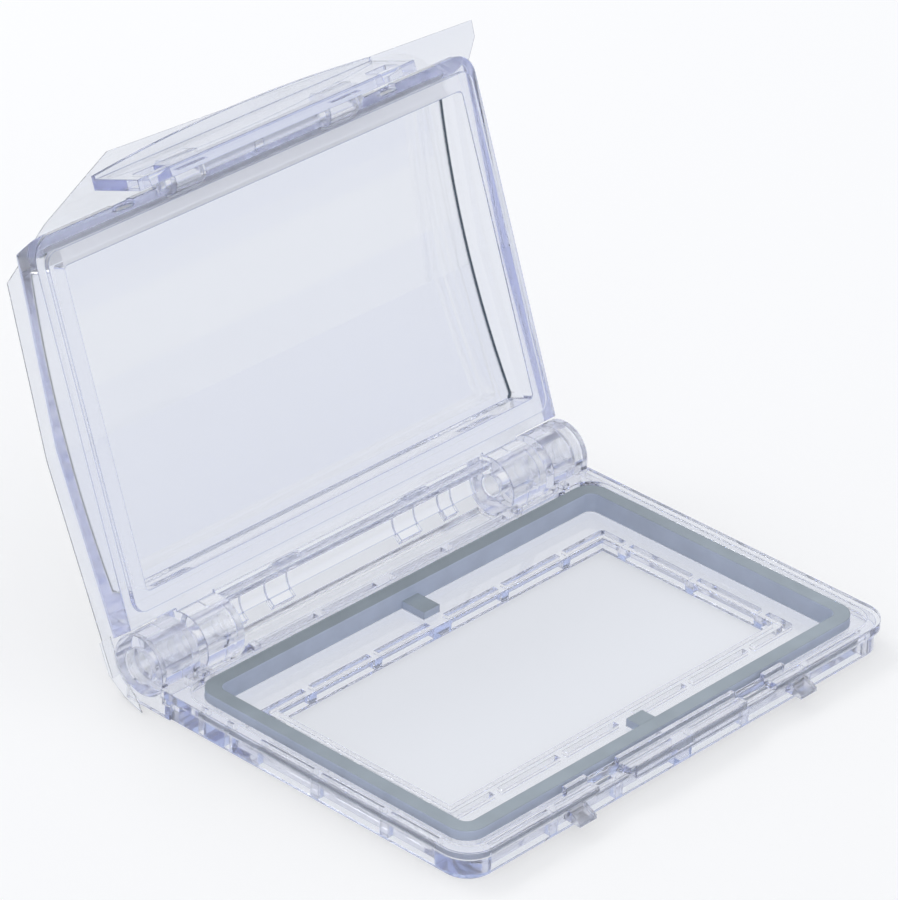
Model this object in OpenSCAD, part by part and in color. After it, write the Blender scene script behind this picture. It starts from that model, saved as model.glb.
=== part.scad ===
// Splash-proof hinged cover for a rectangular panel instrument.
// A clear base frame is clamped behind the instrument's bezel. A clear domed
// lid closes on its rubber gasket and is held by a rocking latch bar.
// Millimetres, Z up. The origin is the centre of the instrument opening,
// in the plane where the base frame meets the panel.

/* [Instrument opening] */
// width of the opening for the instrument's body
opening_w = 92; // [80:1:140]
// depth of the opening, from the latch side to the hinge side
opening_d = 45; // [40:1:92]

/* [Base frame] */
// from the opening to the outer edge of the rim, at the sides
side_margin = 14.5; // [13:0.5:20]
// from the opening to the outer edge of the rim, at the latch
front_margin = 18.5; // [17:0.5:26]
// from the opening to the hinge axis
hinge_margin = 23.8; // [23:0.2:32]
// height of the rim above the panel
rim_h = 6.3; // [6:0.1:7]
// thickness of the rim's outer lip
rim_lip_t = 1.8; // [1.2:0.1:2.4]
// width of the flat land on top of the rim
rim_land = 2.3; // [1.6:0.1:2.8]
// drop from the land to the step beside the gasket
rim_step = 1.3; // [0.8:0.1:1.8]
// how far the lip overhangs the skirt
lip_overhang = 1; // [0.4:0.1:1.4]
// outer corner radius of the rim
rim_corner_r = 6.4; // [5:0.2:8]
// thickness of the moulded walls and ribs
wall = 1.2; // [0.8:0.1:1.6]
// height of the ledge that the bezel rests on
ledge_h = 2.85; // [2.4:0.05:3.4]
// thickness of the wall round the opening
opening_wall = 1.6; // [1:0.1:2.4]
// width of the channels moulded into the underside
channel_w = 1.4; // [1:0.1:1.6]
// material left above the channel round the opening
channel_roof = 0.8; // [0.6:0.1:1.2]
// pitch of the ribs that bridge the channels
rib_pitch = 18; // [12:1:24]
// thickness of a rib
rib_t = 2; // [1:0.1:3]
// width of the middle boss on each long side
boss_w = 5; // [3:0.5:8]

/* [Gasket] */
// width of the gasket's section
seal_w = 3.05; // [2:0.05:3.6]
// depth of the groove that holds the gasket
groove_d = 0.5; // [0.3:0.1:0.8]
// outer corner radius of the gasket
seal_corner_r = 4.5; // [3.8:0.1:6]
// from the rim's outer edge to the gasket
seal_inset = 4.65; // [4.2:0.05:5]
// from the hinge axis to the gasket
seal_to_hinge = 11.1; // [10.8:0.1:12]
// width of the two locating tabs
tab_w = 4.4; // [3:0.1:8]
// how far a locating tab reaches inwards
tab_reach = 6.5; // [3:0.1:8]
// thickness of a locating tab
tab_t = 1.6; // [1:0.1:3]

/* [Hinge] */
// height of the hinge axis above the panel
hinge_z = 8.25; // [8.2:0.05:9]
// outer radius of the hinge barrels
barrel_r = 6.5; // [5.6:0.1:6.7]
// length of each outer knuckle, on the base frame
base_knuckle = 10; // [7:0.5:12]
// length of each inner knuckle, on the lid
lid_knuckle = 9.8; // [7:0.2:12]
// side gap between the two knuckles
knuckle_gap = 2.2; // [0.6:0.1:3]
// how far the foot reaches behind the hinge axis
foot_back = 3.2; // [3:0.1:5]
// radius of the hinge pins
pin_r = 2.4; // [1.6:0.1:3]
// radius of the pins' heads
pin_head_r = 3.7; // [3.3:0.1:4.2]
// thickness of the pins' heads
pin_head_t = 2; // [1:0.1:3]
// how far the lid opens before it meets its stop
open_angle = 110; // [90:1:116]

/* [Lid] */
// how far the lid's edge sits inside the rim at the sides
lid_side_inset = 0.7; // [0.2:0.1:1.6]
// how far the lid's edge sits inside the rim at the latch
lid_front_inset = 2.1; // [1.6:0.1:3]
// outer corner radius of the lid at the latch
lid_corner_r = 4.7; // [4:0.1:6]
// thickness of the lid's flange along the latch
flange_t = 1.8; // [1.4:0.1:2.4]
// width of the flat border round the raised frame
lid_border = 2; // [1.2:0.1:3]
// width of the raised frame that presses on the gasket
frame_w = 3.6; // [3:0.1:4.2]
// height of the raised frame
frame_h = 0.9; // [0.4:0.05:1]
// height of the lid's outer face at the hinge end
dome_back_h = 8.9; // [8:0.1:12]
// height of the lid's outer face at its ridge
dome_peak_h = 11.5; // [10.8:0.1:16]
// height of the lid's outer face at the latch end
dome_front_h = 8.2; // [7.6:0.1:11]
// distance of the ridge from the hinge axis
dome_peak_u = 41.4; // [30:0.2:55]
// slope of the latch end of the lid, as a run
front_slope = 4.4; // [1:0.1:6]
// lean of the hinge end of the lid, as a run
back_slope = 3; // [1:0.1:5]
// radius of the long outer edges of the lid
dome_edge_r = 5; // [2:0.2:6]
// inner depth of the dome along its ends
recess_end_h = 5.6; // [4:0.1:6]
// inner depth of the dome in the middle
recess_mid_h = 8.3; // [6.5:0.1:8.6]

/* [Latch] */
// radius of the rod that the latch bar turns on
rod_r = 1.25; // [1:0.05:1.3]
// half the length of the rod
rod_half = 27.5; // [26:0.5:28]
// width of each lug that carries the rod
rod_lug_w = 2.4; // [1.6:0.1:2.6]
// distance of the rod's axis in front of the lid's edge
rod_out = 0.5; // [0.4:0.1:0.8]
// depth of the rod's axis below the lid's flange plane
rod_drop = 0.4; // [0.3:0.05:0.4]
// width of each clip round the rod
clip_w = 7.8; // [5:0.2:9]
// thickness of the clips
clip_t = 1.5; // [1.2:0.1:1.7]
// half the width of the latch bar
latch_half = 37.5; // [36:0.5:44]
// thickness of the latch bar's plate
latch_t = 2.2; // [1.8:0.1:2.4]
// from the rod's axis to the inner face of the plate
latch_offset = 2.3; // [2.2:0.1:2.5]
// height of the plate's upper edge above the lid's flange plane
latch_top = 5.6; // [4.6:0.1:5.8]
// thickness of the finger lip on the plate's upper edge
grip_t = 1; // [0.8:0.1:1.4]
// how far the finger lip stands out of the plate at its ends
grip_end = 0.7; // [0.4:0.1:1.2]
// how much further the finger lip bows out in the middle
grip_bow = 1.8; // [1:0.1:2]
// width of the catch hooks on the base frame
hook_w = 4.5; // [3:0.5:5]
// from each end of the latch bar to the middle of its catch hook
hook_inset = 6; // [5:0.5:6.5]
// thickness of the hooks at their tips
hook_tip_t = 0.8; // [0.6:0.1:1]
// height of the hooks' undersides above the panel
hook_under = 2.5; // [2.4:0.1:2.8]
// how far the hooks reach out of the rim
hook_reach = 3; // [2.6:0.1:3.2]
// height of the windows above the hooks' undersides
hook_window = 3.2; // [3:0.1:3.6]
// least height of the strip that catches under the hooks
strip_h = 0.45; // [0.3:0.05:0.6]

/* [Protective film] */
// thickness of the film on the lid's outer face
film_t = 0.2; // [0.1:0.05:0.3]
// how far the film stands off the lid's outer face at the latch end
film_lift = 1.1; // [0.9:0.1:2]
// how far the loose film sticks out past the lid's side
film_spill = 10.4; // [4:0.2:14]
// how far the loose film sticks out past the lid's free edge
film_over = 8.1; // [4:0.1:12]

/* [Fits] */
// side clearance of the gasket in its well
seal_clear = 0.05; // [0:0.01:0.2]
// gap between the raised frame and the gasket when the lid is shut
seal_gap = 0.32; // [0.2:0.02:0.6]
// radial clearance of pins and rods in their bores
pin_clear = 0.06; // [0.02:0.01:0.1]
// clearance between the lid's moving parts and the base frame
swing_clear = 0.45; // [0.3:0.05:0.6]
// clearance between the catch strip and the hooks
hook_clear = 0.15; // [0.1:0.05:0.25]
// side clearance of the hooks in their windows
window_clear = 0.5; // [0.3:0.05:0.6]
// clearance round the latch bar's clips in the lid and the rim
clip_clear = 0.35; // [0.3:0.05:0.5]
// air between the film and the lid's outer face
film_gap = 0.03; // [0.01:0.01:0.1]

/* [Hidden] */
$fn = 96;
e = 0.01;
rim_x = opening_w / 2 + side_margin;
rim_y = -opening_d / 2 - front_margin;
hinge_y = opening_d / 2 + hinge_margin;
skirt_x = rim_x - lip_overhang;
skirt_y = rim_y + lip_overhang;
seal_x = rim_x - seal_inset;
seal_front = rim_y + seal_inset + 0.3;
seal_back = hinge_y - seal_to_hinge;
seal_top = hinge_z - frame_h - seal_gap;
seal_inner_r = seal_corner_r - seal_w + 0.6;
step_x = rim_x - rim_land;
step_front = rim_y + rim_land;
step_back = seal_back + 1.8;
corner_block = 9;
trough_r = barrel_r + swing_clear;
base_back = hinge_y + foot_back;
knuckle_out = rim_x - 0.5;
knuckle_in = knuckle_out - base_knuckle;
lid_knuckle_out = knuckle_in - knuckle_gap;
lid_knuckle_in = lid_knuckle_out - lid_knuckle;
hinge_wall_x = lid_knuckle_in - 0.3;
tail_r = hinge_z - 0.25;
tail_t = 3;
// the lid is drawn in its own space: x, then u away from the hinge axis, then w outwards
lid_x = rim_x - lid_side_inset;
lid_front = hinge_y - rim_y - lid_front_inset;
lid_back = barrel_r + 0.7;
frame_x = lid_x - lid_border;
frame_front = lid_front - lid_border - 1.1;
frame_back = lid_back + 2.4;
window_x = frame_x - frame_w;
window_front = frame_front - frame_w + 0.1;
window_back = frame_back + frame_w;
window_mid = (window_front + window_back) / 2;
rod_u = lid_front + rod_out;
rod_w = -rod_drop;
clip_r = rod_r + pin_clear + clip_t;
clip_out = rod_half - rod_lug_w - 0.3;
clip_in = clip_out - clip_w;
plate_u = rod_u + latch_offset;
hook_x = latch_half - hook_inset;
// the strip swings past the hooks on a circle about the rod
hook_w0 = hook_under - hinge_z;
hook_tip_u = hinge_y - rim_y + hook_reach;
sweep_r = norm([hook_tip_u - rod_u, hook_w0 - rod_w]) + hook_clear;
latch_low = rod_w - sqrt(sweep_r * sweep_r - latch_offset * latch_offset) - strip_h;

// ---- shared helpers ----

module lid_space() {
    translate([0, hinge_y, hinge_z])
        rotate([-open_angle, 0, 0])
            mirror([0, 1, 0])
                children();
}

module both_sides() {
    children();
    mirror([1, 0, 0]) children();
}

module rounded_outline(half_w, y0, y1, r) {
    translate([-half_w + r, y0]) square([2 * (half_w - r), y1 - y0]);
    translate([-half_w, y0 + r]) square([2 * half_w, y1 - y0 - 2 * r]);
    for (x = [-half_w + r, half_w - r])
        for (y = [y0 + r, y1 - r])
            translate([x, y]) circle(r = r);
}

module rounded_block(half_w, y0, y1, r, z0, z1) {
    translate([0, 0, z0])
        linear_extrude(z1 - z0)
            rounded_outline(half_w, y0, y1, r);
}

// a profile drawn in (y, z), extruded along X from x0 to x1
module x_extrude(x0, x1) {
    translate([x0, 0, 0])
        rotate([90, 0, 90])
            linear_extrude(x1 - x0)
                children();
}

module x_rod(x0, x1, r) {
    x_extrude(x0, x1) circle(r = r);
}

module hinge_rod(x0, x1, r) {
    translate([0, hinge_y, hinge_z]) x_rod(x0, x1, r);
}

// a curved strip about the X axis, between two angles from -Y towards -Z
module x_arc(x0, x1, r0, r1, a0, a1) {
    steps = 12;
    sector = [for (i = [0 : steps])
        let (a = a0 + (a1 - a0) * i / steps) 3 * r1 * [cos(a), -sin(a)]];
    x_extrude(x0, x1)
        intersection() {
            difference() {
                circle(r = r1);
                circle(r = r0);
            }
            polygon(concat([[0, 0]], sector));
        }
}

// ---- base frame ----

module base_body() {
    rounded_block(skirt_x, skirt_y, hinge_y, rim_corner_r - lip_overhang, 0, rim_h);
    rounded_block(rim_x, rim_y, hinge_y, rim_corner_r, rim_h - rim_lip_t, rim_h);
    // plate under the hinge
    translate([-knuckle_out, hinge_y - barrel_r - 2, 0])
        cube([2 * knuckle_out, base_back - hinge_y + barrel_r + 2, ledge_h]);
}

module gasket_well() {
    rounded_block(seal_x + seal_clear, seal_front - seal_clear, seal_back + seal_clear,
                  seal_corner_r, ledge_h, rim_h + 1);
    rounded_block(step_x, step_front, step_back, seal_corner_r + 0.6, rim_h - rim_step, rim_h + 1);
    difference() {
        rounded_block(seal_x + seal_clear, seal_front - seal_clear, seal_back + seal_clear,
                      seal_corner_r, ledge_h - groove_d, rim_h);
        rounded_block(seal_x - seal_w - seal_clear, seal_front + seal_w + seal_clear,
                      seal_back - seal_w - seal_clear, seal_inner_r, 0, 2 * rim_h);
    }
    gasket_tabs(seal_clear, groove_d + 1);
}

// a channel moulded into the underside, following the given outline
module underside_channel(half_w, y0, y1, r, depth) {
    difference() {
        rounded_block(half_w, y0, y1, r, -1, depth);
        rounded_block(half_w - channel_w, y0 + channel_w, y1 - channel_w, r - 0.2, -2, depth + 1);
    }
}

// one channel round the opening and a deeper one inside the skirt, both bridged by ribs
module underside_channels() {
    inner = opening_wall + channel_w;
    difference() {
        union() {
            underside_channel(opening_w / 2 + inner, -opening_d / 2 - inner, opening_d / 2 + inner,
                              1.2, ledge_h - channel_roof);
            underside_channel(skirt_x - wall, skirt_y + wall, step_back + 3, 3,
                              rim_h - rim_lip_t - 0.5);
        }
        bridging_ribs();
    }
}

module bridging_ribs() {
    reach = 2 * skirt_x;
    for (i = [-3 : 3]) {
        w = i == 0 ? boss_w : rib_t;
        translate([i * rib_pitch - w / 2, -reach, -3]) cube([w, 2 * reach, 2 * rim_h]);
    }
    for (i = [-1 : 1])
        translate([-reach, i * rib_pitch - rib_t / 2, -3]) cube([2 * reach, rib_t, 2 * rim_h]);
    // solid blocks that close the outer channel at the corners and beside the hinge
    blocks = [[skirt_y, skirt_y + corner_block],
              [step_back - 22, step_back - 14.5], [step_back - 13, step_back - 7.5],
              [step_back - 6, step_back + 4]];
    both_sides()
        for (b = blocks)
            translate([opening_w / 2 + side_margin / 2, b[0], -3])
                cube([side_margin, b[1] - b[0], 2 * rim_h]);
}

// shelf in the middle of the latch side
module front_shelf() {
    half_w = clip_in - 1.8;
    proud = 0.3;
    thick = 2.7;
    translate([-half_w, rim_y - proud, rim_h - thick]) cube([2 * half_w, 2, thick]);
}

// raised lip between the step and the gasket, open where the latch bar's clips pass
module front_lip() {
    half_w = rod_half + 3.5;
    lip_t = 1.1;
    rise = 0.7;
    difference() {
        translate([-half_w, seal_front - lip_t - 0.75, rim_h - rim_step - e])
            cube([2 * half_w, lip_t, rim_step + rise]);
        both_sides() clip_scallop();
    }
}

// room for a clip of the latch bar, about the rod's axis
module clip_room() {
    side_clear = 0.4;
    x_rod(clip_in - side_clear, clip_out + side_clear, clip_r + clip_clear);
}

// room for a clip in the rim when the lid is shut
module clip_scallop() {
    translate([0, hinge_y - rod_u, hinge_z + rod_w]) clip_room();
}

module catch_hook() {
    tip = rim_y - hook_reach;
    root = skirt_y + wall / 2;
    translate([hook_x, 0, 0])
        x_extrude(-hook_w / 2, hook_w / 2)
            polygon([[root, hook_under], [tip, hook_under], [tip, hook_under + hook_tip_t],
                     [root, rim_h - 0.5]]);
}

module base_knuckle() {
    plate_t = 1.6;
    hinge_rod(knuckle_in, knuckle_out, barrel_r);
    for (x = [knuckle_in, knuckle_out - plate_t])
        x_extrude(x, x + plate_t)
            polygon([[hinge_y - barrel_r, 0], [base_back, 0], [base_back, hinge_z - 4.2],
                     [hinge_y + 4, hinge_z], [hinge_y - barrel_r, hinge_z]]);
}

module knuckle_posts() {
    post = 1.8;
    rise = 0.9;
    sunk = 2;
    for (x = [lid_knuckle_in - post, knuckle_in])
        translate([x, step_back + 0.2, rim_h - sunk])
            cube([post, post, sunk + rise]);
}

// stop that the lid's tails lean on when it is fully open, clear of the trough
module lid_stop() {
    difference() {
        intersection() {
            translate([lid_knuckle_in + 0.5, hinge_y - barrel_r - 1, 0])
                cube([lid_knuckle - 1, barrel_r, ledge_h]);
            lid_space()
                translate([0, -barrel_r * 2, -barrel_r * 2 - tail_t / 2])
                    cube([knuckle_out, barrel_r * 4, barrel_r * 2]);
        }
        hinge_rod(0, knuckle_in, trough_r);
    }
}

module base_frame() {
    color([0.86, 0.88, 0.94, 0.4])
    union() {
        difference() {
            union() {
                base_body();
                front_shelf();
                both_sides() catch_hook();
            }
            translate([-opening_w / 2, -opening_d / 2, -1])
                cube([opening_w, opening_d, rim_h + 2]);
            gasket_well();
            underside_channels();
            // trough for the lid's hinge wall, and windows for its knuckles
            hinge_rod(-knuckle_in, knuckle_in, trough_r);
            translate([-2 * rim_x, hinge_y - barrel_r + 1, ledge_h])
                cube([4 * rim_x, 4 * barrel_r, rim_h]);
            both_sides() {
                translate([knuckle_in, hinge_y - barrel_r, -1])
                    cube([2 * base_knuckle, 4 * barrel_r, 2 * hinge_z]);
                hinge_rod(lid_knuckle_in, lid_knuckle_out + 0.5, tail_r + swing_clear);
            }
            both_sides() clip_scallop();
        }
        front_lip();
        both_sides() {
            difference() {
                base_knuckle();
                hinge_rod(0, 2 * rim_x, pin_r + pin_clear);
                hinge_rod(knuckle_out - pin_head_t - 0.4, 2 * rim_x, pin_head_r + pin_clear);
            }
            knuckle_posts();
            lid_stop();
        }
    }
}

// ---- gasket ----

// the two tabs, grown by a clearance and raised or lowered to a height above the groove
module gasket_tabs(clear, height) {
    for (y = [seal_front + seal_w - 0.5, seal_back - seal_w + 0.5 - tab_reach])
        translate([-tab_w / 2 - clear, y - clear, ledge_h - groove_d])
            cube([tab_w + 2 * clear, tab_reach + 2 * clear, height]);
}

module lid_gasket() {
    color([0.55, 0.6, 0.65])
    union() {
        difference() {
            rounded_block(seal_x, seal_front, seal_back, seal_corner_r,
                          ledge_h - groove_d, seal_top);
            rounded_block(seal_x - seal_w, seal_front + seal_w, seal_back - seal_w,
                          seal_inner_r, 0, seal_top + 1);
        }
        gasket_tabs(0, groove_d + tab_t);
    }
}

// ---- lid ----

// prism with rounded long edges of radius r, whose top follows the roof line from p to q
module roof_prism(p, q, r) {
    reach = 2 * lid_front;
    // the rounding runs out just past the lid's side
    side = lid_x + 0.1;
    slope = atan2(q[1] - p[1], q[0] - p[0]);
    translate([0, p[0], p[1]])
        rotate([slope, 0, 0])
            translate([0, reach, 0])
                rotate([90, 0, 0])
                    linear_extrude(2 * reach) {
                        translate([-side, -reach]) square([2 * side, reach - r]);
                        translate([-side + r, -reach]) square([2 * (side - r), reach]);
                        for (x = [-side + r, side - r])
                            translate([x, -r]) circle(r = r);
                    }
}

roof_back = [lid_back - back_slope, dome_back_h];
roof_peak = [dome_peak_u, dome_peak_h];
roof_front = [lid_front - front_slope, dome_front_h];

module lid_shell() {
    intersection() {
        rounded_block(lid_x, -2 * lid_back, lid_front, lid_corner_r, 0, 3 * dome_peak_h);
        // side view, left open above the roof
        x_extrude(-2 * lid_x, 2 * lid_x)
            polygon([[lid_back, 0], [lid_front, 0], [lid_front, flange_t],
                     [lid_front, flange_t] + 1.5 * [-front_slope, dome_front_h - flange_t],
                     [lid_back, 0] + 1.5 * [-back_slope, dome_back_h]]);
        roof_prism(roof_back, roof_peak, dome_edge_r);
        // the rounding tightens a little on the latch side of the ridge
        roof_prism(roof_peak, roof_front, 0.9 * dome_edge_r);
    }
    rounded_block(frame_x, frame_back, frame_front, lid_corner_r - lid_border, -frame_h, e);
}

module window_recess() {
    sag = recess_mid_h - recess_end_h;
    chord = (window_front - window_back) / 2;
    arc_r = (chord * chord + sag * sag) / (2 * sag);
    intersection() {
        rounded_block(window_x, window_back, window_front, 1, -2 * frame_h, dome_peak_h);
        translate([0, window_mid, recess_mid_h - arc_r])
            rotate([0, 90, 0])
                cylinder(h = 3 * window_x, r = arc_r, center = true, $fn = 360);
    }
}

module lid_hinge_half() {
    finger_w = 6;
    finger_x = hinge_wall_x - 22.7;
    small_w = 3.6;
    small_x = hinge_wall_x - 9.7;
    finger_in = barrel_r - 1.5;
    finger_out = barrel_r - 0.1;
    // knuckle, its neck and the tail that meets the stop
    x_rod(lid_knuckle_in, lid_knuckle_out, barrel_r);
    translate([lid_knuckle_in, 0, 0]) cube([lid_knuckle, lid_back + 1, barrel_r]);
    translate([lid_knuckle_in + 1, -tail_r, -tail_t / 2]) cube([lid_knuckle - 2, tail_r, tail_t]);
    // finger that wraps round the hinge wall, and its small neighbour
    mirror([0, 1, 0]) {
        x_arc(finger_x, finger_x + finger_w, finger_in, finger_out, 170, 310);
        x_arc(small_x, small_x + small_w, finger_in, finger_out, 225, 310);
    }
}

module lid_hinge() {
    both_sides() lid_hinge_half();
    // curved wall between the knuckles, and the rib that joins it to the lid
    mirror([0, 1, 0])
        x_arc(-hinge_wall_x, hinge_wall_x, barrel_r - 0.7 - wall, barrel_r - 0.7, 155, 290);
    translate([-hinge_wall_x, barrel_r - 1.4, 0]) cube([2 * hinge_wall_x, 2.6, 2.2]);
}

module latch_rod() {
    lug_depth = 2;
    translate([0, rod_u, rod_w]) {
        x_rod(-rod_half, rod_half, rod_r);
        for (x = [-rod_half, -rod_lug_w / 2, rod_half - rod_lug_w])
            translate([x, -lug_depth, rod_drop - frame_h])
                cube([rod_lug_w, lug_depth, frame_h + 1]);
    }
}

// notch in the lid's edge behind an end of the latch bar
module finger_notch() {
    notch_w = 4.6;
    depth = 1.2;
    translate([latch_half - notch_w + 0.6, lid_front - depth, -1])
        cube([notch_w, depth + 1, flange_t + 1.6]);
}

module lid() {
    color([0.86, 0.88, 0.94, 0.4])
    lid_space()
        difference() {
            union() {
                lid_shell();
                lid_hinge();
                latch_rod();
            }
            window_recess();
            both_sides() {
                // bore of the knuckle
                x_rod(0, knuckle_in, pin_r + pin_clear);
                // scallops for the latch bar's clips
                translate([0, rod_u, rod_w])
                    difference() {
                        clip_room();
                        x_rod(0, rod_half, rod_r);
                    }
                finger_notch();
            }
        }
}

// ---- latch bar ----

// finger lip along the upper edge, bowed out in the middle
module latch_grip() {
    root = plate_u + latch_t - 0.5;
    crest = plate_u + latch_t + grip_end + grip_bow;
    bow_r = (latch_half * latch_half + grip_bow * grip_bow) / (2 * grip_bow);
    translate([0, 0, latch_top - grip_t])
        linear_extrude(grip_t)
            intersection() {
                translate([-latch_half, root]) square([2 * latch_half, crest - root + 1]);
                translate([0, crest - bow_r]) circle(r = bow_r, $fn = 720);
            }
}

// open ring that snaps over the rod
module latch_clip() {
    mouth = 1.4 * rod_r;
    translate([0, rod_u, rod_w])
        difference() {
            x_rod(clip_in, clip_out, clip_r);
            x_rod(0, rod_half, rod_r + pin_clear);
            translate([clip_in - 1, -mouth / 2, 0])
                cube([clip_w + 2, mouth, 2 * clip_r]);
        }
}

// window for a hook, whose lower edge keeps clear of the hook's tip as the bar swings
module latch_window() {
    half_w = hook_w / 2 + window_clear;
    intersection() {
        translate([0, rod_u, rod_w]) x_rod(hook_x - half_w, hook_x + half_w, sweep_r);
        translate([0, plate_u - 1, latch_low - 1])
            cube([2 * latch_half, latch_t + 2, hook_w0 + hook_window - latch_low + 1]);
    }
}

module latch_bar() {
    color([0.86, 0.88, 0.94, 0.4])
    lid_space() {
        difference() {
            union() {
                translate([-latch_half, plate_u, latch_low])
                    cube([2 * latch_half, latch_t, latch_top - latch_low]);
                latch_grip();
            }
            both_sides() latch_window();
        }
        both_sides() latch_clip();
    }
}

// ---- hinge pins ----

module hinge_pin() {
    head_x = knuckle_out - 0.4;
    hinge_rod(lid_knuckle_in + 0.5, head_x, pin_r);
    hinge_rod(head_x - pin_head_t, head_x, pin_head_r);
}

module hinge_pin_left() {
    color([0.86, 0.88, 0.94, 0.4])
    mirror([1, 0, 0]) hinge_pin();
}

module hinge_pin_right() {
    color([0.86, 0.88, 0.94, 0.4])
    hinge_pin();
}

// ---- protective film ----

// loose corner of the film that curls round the end of the hinge
module film_corner() {
    lean = 9;
    translate([-lid_x - 0.5, hinge_y + 8.2, 0])
        rotate([0, 0, -lean])
            x_extrude(-film_t, 0)
                polygon([[-11.6, 0.3], [-9.6, 2.8], [-4.5, 5.6], [-1, 12], [2.6, 8.6],
                         [-0.6, 3], [-6, 0.9]]);
}

// outline of the loose film, seen square to the lid's outer face
module film_outline() {
    polygon([[-lid_x - 0.3, -3], [-lid_x + 3, -2.5], [-lid_x + 10, 4], [lid_x, 4],
             [lid_x, 0.85 * lid_front], [lid_x + 0.7 * film_spill, lid_front - 4.6],
             [lid_x + film_spill, lid_front - 0.2], [lid_x + film_spill, lid_front + 3.3],
             [-lid_x / 2, lid_front + film_over], [-0.81 * lid_x, lid_front - 0.4],
             [-lid_x - 0.3, lid_front - film_over]]);
}

module protective_film() {
    run = 60;
    front_rise = (roof_front[1] + film_lift - roof_peak[1]) / (roof_front[0] - roof_peak[0]) * run;
    back_drop = (roof_peak[1] - roof_back[1]) / (roof_peak[0] - roof_back[0]) * run;
    ridge = roof_peak + [0, film_gap];
    low = [ridge - [run, back_drop], ridge, ridge + [run, front_rise]];
    color([0.9, 0.92, 0.95, 0.25])
    union() {
        lid_space()
            intersection() {
                linear_extrude(3 * dome_peak_h) film_outline();
                x_extrude(-2 * lid_x, 2 * lid_x)
                    polygon(concat(low, [for (i = [2 : -1 : 0]) low[i] + [0, film_t]]));
            }
        film_corner();
    }
}

base_frame();
lid_gasket();
lid();
latch_bar();
hinge_pin_left();
hinge_pin_right();
protective_film();
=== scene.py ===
import math

import bpy
from mathutils import Matrix, Vector


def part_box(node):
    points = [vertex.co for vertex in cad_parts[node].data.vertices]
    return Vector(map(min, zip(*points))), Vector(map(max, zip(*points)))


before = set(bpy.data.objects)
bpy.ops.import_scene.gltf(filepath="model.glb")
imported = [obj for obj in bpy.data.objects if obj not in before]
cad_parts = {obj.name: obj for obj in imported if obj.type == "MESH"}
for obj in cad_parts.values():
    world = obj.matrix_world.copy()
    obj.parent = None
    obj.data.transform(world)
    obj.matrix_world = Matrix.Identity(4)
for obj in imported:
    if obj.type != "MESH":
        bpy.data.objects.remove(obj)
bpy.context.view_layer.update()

MM = 0.001

# ---- camera, fitted to the photograph ----
CAMERA_AZIMUTH = -47.313
CAMERA_ELEVATION = 29.956
CAMERA_ROLL = 1.706
CAMERA_DISTANCE = 1055.635 * MM
CAMERA_ACROSS = 15.508 * MM
CAMERA_UP = -44.317 * MM
FOCAL_PIXELS = 5458.4
IMAGE_WIDTH = 898
SENSOR_MM = 36.0
CLIP_NEAR = 0.05
CLIP_FAR = 50

# ---- clear plastic ----
PLASTIC_IOR = 1.58
CLEAR_TINT = (0.985, 0.988, 0.995)
# painted shade along the edges of the clear plastic, full and softer
EDGE_SHADE = (0.46, 0.51, 0.70)
SOFT_EDGE_SHADE = (0.66, 0.71, 0.95)
# what is left of white light in the thickness of the plastic
LAVENDER = (0.38, 0.45, 0.86)
# cosines of the normal's turn at which an edge's painted shade starts and is full
CRISP = (0.995, 0.93)
SOFT = (0.98, 0.80)
BEVEL_SAMPLES = 8
POLISHED = (0.02, 0.05)
HANDLED = (0.03, 0.07)
HANDLING_SCALE = 90
RIPPLE_SCALE = 45
RIPPLE = 0.02
RIPPLE_DEPTH = 0.4 * MM
# at full alpha the pins draw a black ring in the hinge, which the photograph doesn't show
PIN_ALPHA = 0.3

# ---- lid, in its own directions at the open pose ----
LID_LEAN = math.radians(20)
LID_ALONG = (0, math.sin(LID_LEAN), math.cos(LID_LEAN))
LID_OUT = (0, math.cos(LID_LEAN), -math.sin(LID_LEAN))
PANE_INSET = 5.6 * MM
# painted shade: near-black lines in the deep corners at the ends of the pane
CORNER_SHADE = (0.004, 0.008, 0.014)
CORNER_RADIUS = 1.0 * MM
CORNER_SPREAD = (0.9995, 0.985)
CORNER_PLANE = 45.0 * MM
# the satin end at the latch
SATIN = 0.55
SATIN_PLANE = 103.9 * MM
SATIN_REACH = 1.95 * MM

# ---- rubber ----
RUBBER_TOP = (0.33, 0.38, 0.42)
# painted light: the rubber's sides are paler and bluer than its top
RUBBER_SIDE_PAINTED_LIGHT = (0.56, 0.62, 0.73)
# painted light: the pale glow of the rubber's back faces
RUBBER_GLOW_PAINTED = (0.42, 0.46, 0.62)
RUBBER_ROUGHNESS = 0.62
RUBBER_EDGE = 0.35 * MM
MOTTLE_SCALE = 160
MOTTLE = (0.94, 1.06)
GRAIN_SCALE = 1500
GRAIN = 0.15
GRAIN_DEPTH = 0.1 * MM

# ---- floor ----
FLOOR_SIZE = 6.0
FLOOR_DROP = 0.1 * MM
FLOOR_DIRECT = (0.955, 0.957, 0.960)
# the floor's tone seen through plastic, also the tone of the painted shadow under the object
FLOOR_THROUGH_AND_SHADOW = (0.84, 0.86, 0.905)
# share of the floor's tone that is even, straight and through plastic
FLOOR_EVEN = 0.5
FLOOR_EVEN_THROUGH = 0.9
# the painted shadow's soft edge and its reach behind the base
FOOTPRINT_SOFT = 4 * MM
FOOTPRINT_BEHIND = 12 * MM

# ---- light ----
SKY_LOW = (0.50, 0.56, 0.84)
SKY_HIGH = (0.97, 0.98, 1.0)
SKY_HIGH_FROM = 0.5
SKY_STRENGTH = 0.9
BACK_PLACE = (0.0, 1.1, 1.2)
BACK_SIZE = (0.9, 0.6)
BACK_POWER = 6
LIGHT_BOUNCES = 100
TRANSPARENT_BOUNCES = 24

# noise lies mostly between these
NOISE_SPAN = (0.3, 0.7)


# ---- camera ----

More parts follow.
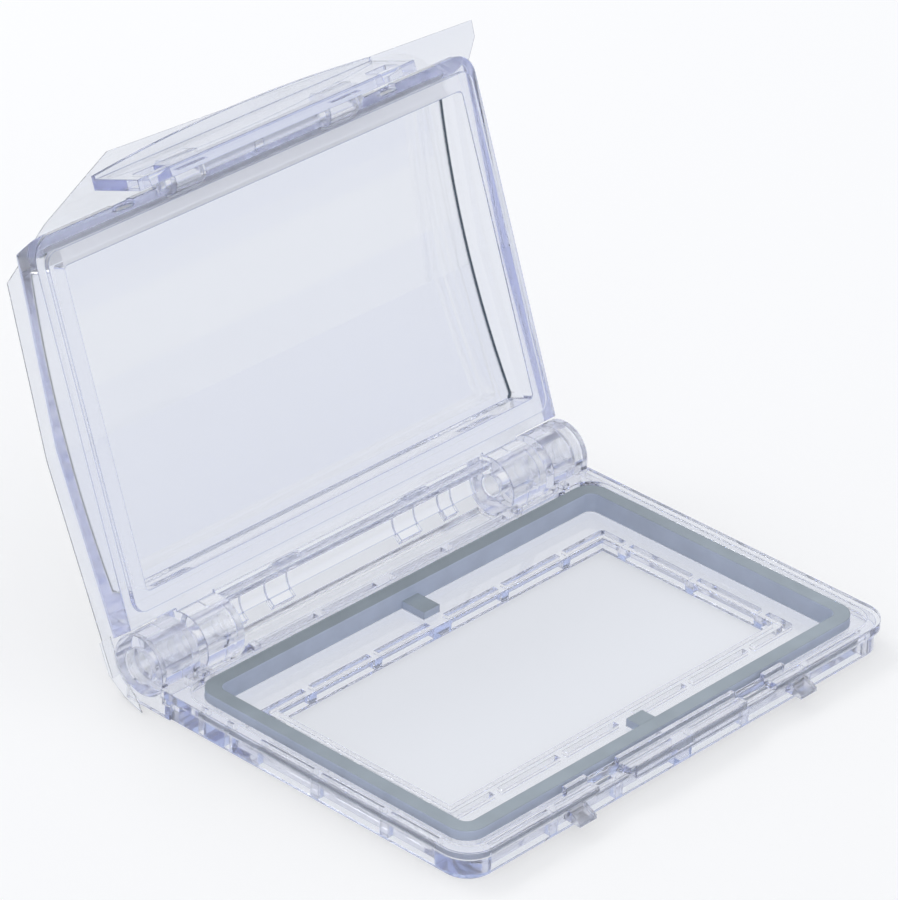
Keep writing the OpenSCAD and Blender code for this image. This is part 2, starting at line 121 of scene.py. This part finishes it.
def camera_axes():
    """The camera's right, up and back directions in the frame."""
    az, el, roll = (math.radians(a) for a in (CAMERA_AZIMUTH, CAMERA_ELEVATION, CAMERA_ROLL))
    back = Vector((math.sin(az) * math.cos(el), -math.cos(az) * math.cos(el), math.sin(el)))
    right = Vector((math.cos(az), math.sin(az), 0))
    up = back.cross(right)
    return (right * math.cos(roll) + up * math.sin(roll),
            up * math.cos(roll) - right * math.sin(roll),
            back)


def add_camera():
    right, up, back = camera_axes()
    data = bpy.data.cameras.new("camera")
    data.sensor_width = SENSOR_MM
    data.sensor_fit = "HORIZONTAL"
    data.lens = FOCAL_PIXELS * SENSOR_MM / IMAGE_WIDTH
    data.clip_start = CLIP_NEAR
    data.clip_end = CLIP_FAR
    camera = bpy.data.objects.new("camera", data)
    place = back * CAMERA_DISTANCE - right * CAMERA_ACROSS - up * CAMERA_UP
    camera.matrix_world = Matrix.Translation(place) @ Matrix((right, up, back)).transposed().to_4x4()
    bpy.context.scene.collection.objects.link(camera)
    bpy.context.scene.camera = camera


# ---- small node helpers ----

def new_material(name):
    """An empty material, with its nodes, its links and its output node."""
    material = bpy.data.materials.new(name)
    material.use_nodes = True
    nodes = material.node_tree.nodes
    nodes.clear()
    return material, nodes, material.node_tree.links, nodes.new("ShaderNodeOutputMaterial")


def feed(links, value, socket):
    """Links a socket to an input, or sets the input to a plain value."""
    if isinstance(value, bpy.types.NodeSocket):
        links.new(value, socket)
    else:
        socket.default_value = value


def calculate(nodes, links, operation, *values):
    """A sum on linked or plain numbers."""
    node = nodes.new("ShaderNodeMath")
    node.operation = operation
    for value, socket in zip(values, node.inputs):
        feed(links, value, socket)
    return node.outputs[0]


def dot(nodes, links, first, second):
    """The dot product of two linked or plain vectors."""
    node = nodes.new("ShaderNodeVectorMath")
    node.operation = "DOT_PRODUCT"
    feed(links, first, node.inputs[0])
    feed(links, second, node.inputs[1])
    return node.outputs["Value"]


def axes_of(nodes, links, vector):
    """The X, Y and Z outputs of a linked vector."""
    node = nodes.new("ShaderNodeSeparateXYZ")
    links.new(vector, node.inputs[0])
    return node.outputs


def map_range(nodes, links, value, start, end=(0, 1)):
    """Carries a value over from one range to another, and holds it inside that one."""
    node = nodes.new("ShaderNodeMapRange")
    node.inputs["From Min"].default_value = start[0]
    node.inputs["From Max"].default_value = start[1]
    node.inputs["To Min"].default_value = end[0]
    node.inputs["To Max"].default_value = end[1]
    links.new(value, node.inputs["Value"])
    return node.outputs["Result"]


def noise(nodes, links, place, scale, detail):
    texture = nodes.new("ShaderNodeTexNoise")
    texture.inputs["Scale"].default_value = scale
    texture.inputs["Detail"].default_value = detail
    links.new(place, texture.inputs["Vector"])
    return texture.outputs["Fac"]


def rounded_normal(nodes, radius):
    """The normal of the part as if its edges had a small radius."""
    bevel = nodes.new("ShaderNodeBevel")
    bevel.samples = BEVEL_SAMPLES
    bevel.inputs["Radius"].default_value = radius
    return bevel.outputs[0]


def relief(nodes, links, normal, height, strength, distance):
    """A faint relief laid over a normal."""
    bump = nodes.new("ShaderNodeBump")
    bump.inputs["Strength"].default_value = strength
    bump.inputs["Distance"].default_value = distance
    links.new(height, bump.inputs["Height"])
    links.new(normal, bump.inputs["Normal"])
    return bump.outputs[0]


def edge_shade_mask(nodes, links, rounded, spread):
    """0 on the flats and 1 on an edge, where the rounded normal leaves the true one: the mask of
    painted shade along edges.
    """
    true_normal = nodes.new("ShaderNodeNewGeometry").outputs["True Normal"]
    turn = calculate(nodes, links, "ABSOLUTE", dot(nodes, links, rounded, true_normal))
    return map_range(nodes, links, turn, spread)


def colour_mix(nodes, links, factor, low, high):
    """A blend of a linked or plain colour and a plain one."""
    mix = nodes.new("ShaderNodeMix")
    mix.data_type = "RGBA"
    links.new(factor, mix.inputs["Factor"])
    feed(links, (*low, 1) if isinstance(low, tuple) else low, mix.inputs["A"])
    mix.inputs["B"].default_value = (*high, 1)
    return mix.outputs["Result"]


# ---- materials ----

def clear_plastic(name, density, haze, edge, painted_edge_shade=EDGE_SHADE, spread=CRISP, rough=POLISHED,
                  corners=None, satin=None, alpha=1):
    """Clear moulded plastic: polished, faintly wavy, with painted shade along its edges."""
    material, nodes, links, output = new_material(name)
    place = nodes.new("ShaderNodeTexCoord").outputs["Object"]
    surface = nodes.new("ShaderNodeBsdfPrincipled")
    surface.inputs["IOR"].default_value = PLASTIC_IOR
    surface.inputs["Alpha"].default_value = alpha
    surface.inputs["Transmission Weight"].default_value = 1 - haze
    if satin:
        clear = map_range(nodes, links, satin(nodes, links, place), (0, 1), (1 - haze, 1 - SATIN))
        links.new(clear, surface.inputs["Transmission Weight"])
    rounded = rounded_normal(nodes, edge)
    edges = edge_shade_mask(nodes, links, rounded, spread)
    # painted shade: the edges are darker
    tint_with_painted_shade = colour_mix(nodes, links, edges, CLEAR_TINT, painted_edge_shade)
    # painted shade: near-black in the deep corners at the pane's ends
    if corners:
        tint_with_painted_shade = colour_mix(nodes, links, corners(nodes, links, place), tint_with_painted_shade, CORNER_SHADE)
    links.new(tint_with_painted_shade, surface.inputs["Base Color"])
    handling = noise(nodes, links, place, HANDLING_SCALE, detail=3)
    links.new(map_range(nodes, links, handling, NOISE_SPAN, rough), surface.inputs["Roughness"])
    ripple = noise(nodes, links, place, RIPPLE_SCALE, detail=1.5)
    wavy = relief(nodes, links, rounded, ripple, RIPPLE, RIPPLE_DEPTH)
    links.new(wavy, surface.inputs["Normal"])
    links.new(surface.outputs[0], output.inputs["Surface"])
    depth = nodes.new("ShaderNodeVolumeAbsorption")
    depth.inputs["Color"].default_value = (*LAVENDER, 1)
    depth.inputs["Density"].default_value = density
    links.new(depth.outputs[0], output.inputs["Volume"])
    return material


def pane_half():
    """Half the width of the lid's pane."""
    low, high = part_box("lid")
    return (high[0] - low[0]) / 2 - PANE_INSET


def pane_ends(nodes, links, place):
    """1 along the deep corners at the two ends of the lid's pane, where painted shade goes, 0
    elsewhere.
    """
    edges = edge_shade_mask(nodes, links, rounded_normal(nodes, CORNER_RADIUS), CORNER_SPREAD)
    side = calculate(nodes, links, "ABSOLUTE", axes_of(nodes, links, place)["X"])
    near = calculate(nodes, links, "COMPARE", side, pane_half(), CORNER_RADIUS)
    deep = calculate(nodes, links, "GREATER_THAN", dot(nodes, links, place, LID_OUT), CORNER_PLANE)
    corner = calculate(nodes, links, "MULTIPLY", near, deep)
    return calculate(nodes, links, "MULTIPLY", corner, edges)


def free_edge(nodes, links, place):
    """1 on the satin end of the lid at the latch, between its round corners, 0 elsewhere."""
    along = dot(nodes, links, place, LID_ALONG)
    end = calculate(nodes, links, "COMPARE", along, SATIN_PLANE, SATIN_REACH)
    between = calculate(nodes, links, "COMPARE", axes_of(nodes, links, place)["X"], 0, pane_half())
    return calculate(nodes, links, "MULTIPLY", end, between)


def grey_rubber(name):
    """Matt grey rubber: darker on top, with painted light on its sides, paler and bluer there.

    Where the rubber sits flat on clear plastic, its back faces show, and they glow in a pale tone:
    painted light, an emission that stands in for the lit rubber."""
    material, nodes, links, output = new_material(name)
    coordinates = nodes.new("ShaderNodeTexCoord")
    place = coordinates.outputs["Object"]
    surface = nodes.new("ShaderNodeBsdfPrincipled")
    surface.inputs["Roughness"].default_value = RUBBER_ROUGHNESS
    # painted light: the back faces glow in a pale tone
    surface.inputs["Emission Color"].default_value = (*RUBBER_GLOW_PAINTED, 1)
    inside = nodes.new("ShaderNodeNewGeometry").outputs["Backfacing"]
    links.new(inside, surface.inputs["Emission Strength"])
    upward = axes_of(nodes, links, coordinates.outputs["Normal"])["Z"]
    mottle = nodes.new("ShaderNodeMix")
    mottle.data_type = "RGBA"
    mottle.blend_type = "MULTIPLY"
    mottle.inputs["Factor"].default_value = 1
    # painted light on the sides, set by which way each face points
    links.new(colour_mix(nodes, links, upward, RUBBER_SIDE_PAINTED_LIGHT, RUBBER_TOP), mottle.inputs["A"])
    spots = noise(nodes, links, place, MOTTLE_SCALE, detail=4)
    shade = map_range(nodes, links, spots, NOISE_SPAN, MOTTLE)
    grey = nodes.new("ShaderNodeCombineColor")
    for channel in ("Red", "Green", "Blue"):
        links.new(shade, grey.inputs[channel])
    links.new(grey.outputs[0], mottle.inputs["B"])
    links.new(mottle.outputs["Result"], surface.inputs["Base Color"])
    grain = noise(nodes, links, place, GRAIN_SCALE, detail=2)
    rounded = rounded_normal(nodes, RUBBER_EDGE)
    grainy = relief(nodes, links, rounded, grain, GRAIN, GRAIN_DEPTH)
    links.new(grainy, surface.inputs["Normal"])
    links.new(surface.outputs[0], output.inputs["Surface"])
    return material


def dress(node, material):
    """Gives every slot of a CAD node's object the material."""
    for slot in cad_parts[node].material_slots:
        slot.material = material


# ---- floor and light ----

def painted_shadow_footprint(nodes, links):
    """1 on the floor inside the gasket and back past the hinge, fading to 0 at its outline: where a
    painted shadow greys the floor.
    """
    low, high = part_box("lid_gasket")
    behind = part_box("base_frame")[1][1] + FOOTPRINT_BEHIND
    axes = axes_of(nodes, links, nodes.new("ShaderNodeTexCoord").outputs["Object"])
    fades = []
    for axis, near, far in (("X", low[0], high[0]), ("Y", low[1], behind)):
        half = (far - near) / 2
        offset = calculate(nodes, links, "SUBTRACT", axes[axis], (near + far) / 2)
        away = calculate(nodes, links, "ABSOLUTE", offset)
        fades.append(map_range(nodes, links, away, (half, half - FOOTPRINT_SOFT)))
    return calculate(nodes, links, "MULTIPLY", *fades)


def floor_paint():
    """A pale matt tone that keeps the object's shadow, with a painted shadow in a greyer tone under
    the object. Plastic shows it greyer and more even.
    """
    material, nodes, links, output = new_material("floor")
    path = nodes.new("ShaderNodeLightPath").outputs
    through = calculate(nodes, links, "MAXIMUM", path["Is Transmission Ray"], path["Is Glossy Ray"])
    # painted shadow: the floor under the object takes the greyer tone
    greyer = calculate(nodes, links, "MAXIMUM", through, painted_shadow_footprint(nodes, links))
    tone = colour_mix(nodes, links, greyer, FLOOR_DIRECT, FLOOR_THROUGH_AND_SHADOW)
    matt = nodes.new("ShaderNodeBsdfDiffuse")
    links.new(tone, matt.inputs["Color"])
    even = nodes.new("ShaderNodeEmission")
    links.new(tone, even.inputs["Color"])
    direct = calculate(nodes, links, "MULTIPLY", path["Is Camera Ray"], FLOOR_EVEN)
    share = calculate(nodes, links, "MULTIPLY_ADD", through, FLOOR_EVEN_THROUGH, direct)
    blend = nodes.new("ShaderNodeMixShader")
    links.new(share, blend.inputs[0])
    links.new(matt.outputs[0], blend.inputs[1])
    links.new(even.outputs[0], blend.inputs[2])
    links.new(blend.outputs[0], output.inputs["Surface"])
    return material


def add_floor():
    """A plain square table just under the object."""
    half = FLOOR_SIZE / 2
    outline = ((-half, -half), (half, -half), (half, half), (-half, half))
    mesh = bpy.data.meshes.new("floor")
    mesh.from_pydata([(x, y, -FLOOR_DROP) for x, y in outline], [], [(0, 1, 2, 3)])
    mesh.materials.append(floor_paint())
    floor = bpy.data.objects.new("floor", mesh)
    bpy.context.scene.collection.objects.link(floor)


def add_light(name, place, target, size, power):
    """A rectangular lamp that faces its target."""
    data = bpy.data.lights.new(name, "AREA")
    data.shape = "RECTANGLE"
    data.size, data.size_y = size
    data.energy = power
    light = bpy.data.objects.new(name, data)
    light.location = place
    light.rotation_euler = (Vector(target) - Vector(place)).to_track_quat("-Z", "Y").to_euler()
    bpy.context.scene.collection.objects.link(light)


def add_world():
    """An even studio tent: bright overhead, a little bluer and dimmer towards the horizon."""
    world = bpy.data.worlds.new("studio")
    world.use_nodes = True
    bpy.context.scene.world = world
    nodes, links = world.node_tree.nodes, world.node_tree.links
    nodes.clear()
    output = nodes.new("ShaderNodeOutputWorld")
    direction = nodes.new("ShaderNodeTexCoord").outputs["Generated"]
    ramp = nodes.new("ShaderNodeValToRGB")
    low, high = ramp.color_ramp.elements
    low.position = 0
    low.color = (*SKY_LOW, 1)
    high.position = SKY_HIGH_FROM
    high.color = (*SKY_HIGH, 1)
    links.new(axes_of(nodes, links, direction)["Z"], ramp.inputs["Fac"])
    sky = nodes.new("ShaderNodeBackground")
    sky.inputs["Strength"].default_value = SKY_STRENGTH
    links.new(ramp.outputs["Color"], sky.inputs["Color"])
    links.new(sky.outputs[0], output.inputs["Surface"])


add_camera()
add_world()
add_floor()
add_light("back_box", BACK_PLACE, (0, 0, 0), BACK_SIZE, BACK_POWER)

lid_plastic = clear_plastic("lid_plastic", density=4, haze=0.01, edge=0.4 * MM,
                            corners=pane_ends, satin=free_edge)
base_plastic = clear_plastic("base_plastic", density=14, haze=0.06, edge=0.25 * MM,
                             painted_edge_shade=SOFT_EDGE_SHADE, spread=SOFT)
latch_plastic = clear_plastic("latch_plastic", density=14, haze=0.03, edge=0.3 * MM)
pin_plastic = clear_plastic("pin_plastic", density=5, haze=0.04, edge=0.25 * MM,
                            painted_edge_shade=SOFT_EDGE_SHADE, spread=SOFT, alpha=PIN_ALPHA)
film_plastic = clear_plastic("film_plastic", density=2, haze=0.02, edge=0.12 * MM,
                             spread=SOFT, rough=HANDLED)
rubber = grey_rubber("gasket_rubber")

dress("base_frame", base_plastic)
dress("lid", lid_plastic)
dress("latch_bar", latch_plastic)
dress("hinge_pin_left", pin_plastic)
dress("hinge_pin_right", pin_plastic)
dress("protective_film", film_plastic)
dress("lid_gasket", rubber)

scene = bpy.context.scene
scene.view_settings.view_transform = "Standard"
scene.cycles.max_bounces = LIGHT_BOUNCES
scene.cycles.transmission_bounces = LIGHT_BOUNCES
scene.cycles.glossy_bounces = LIGHT_BOUNCES
scene.cycles.transparent_max_bounces = TRANSPARENT_BOUNCES
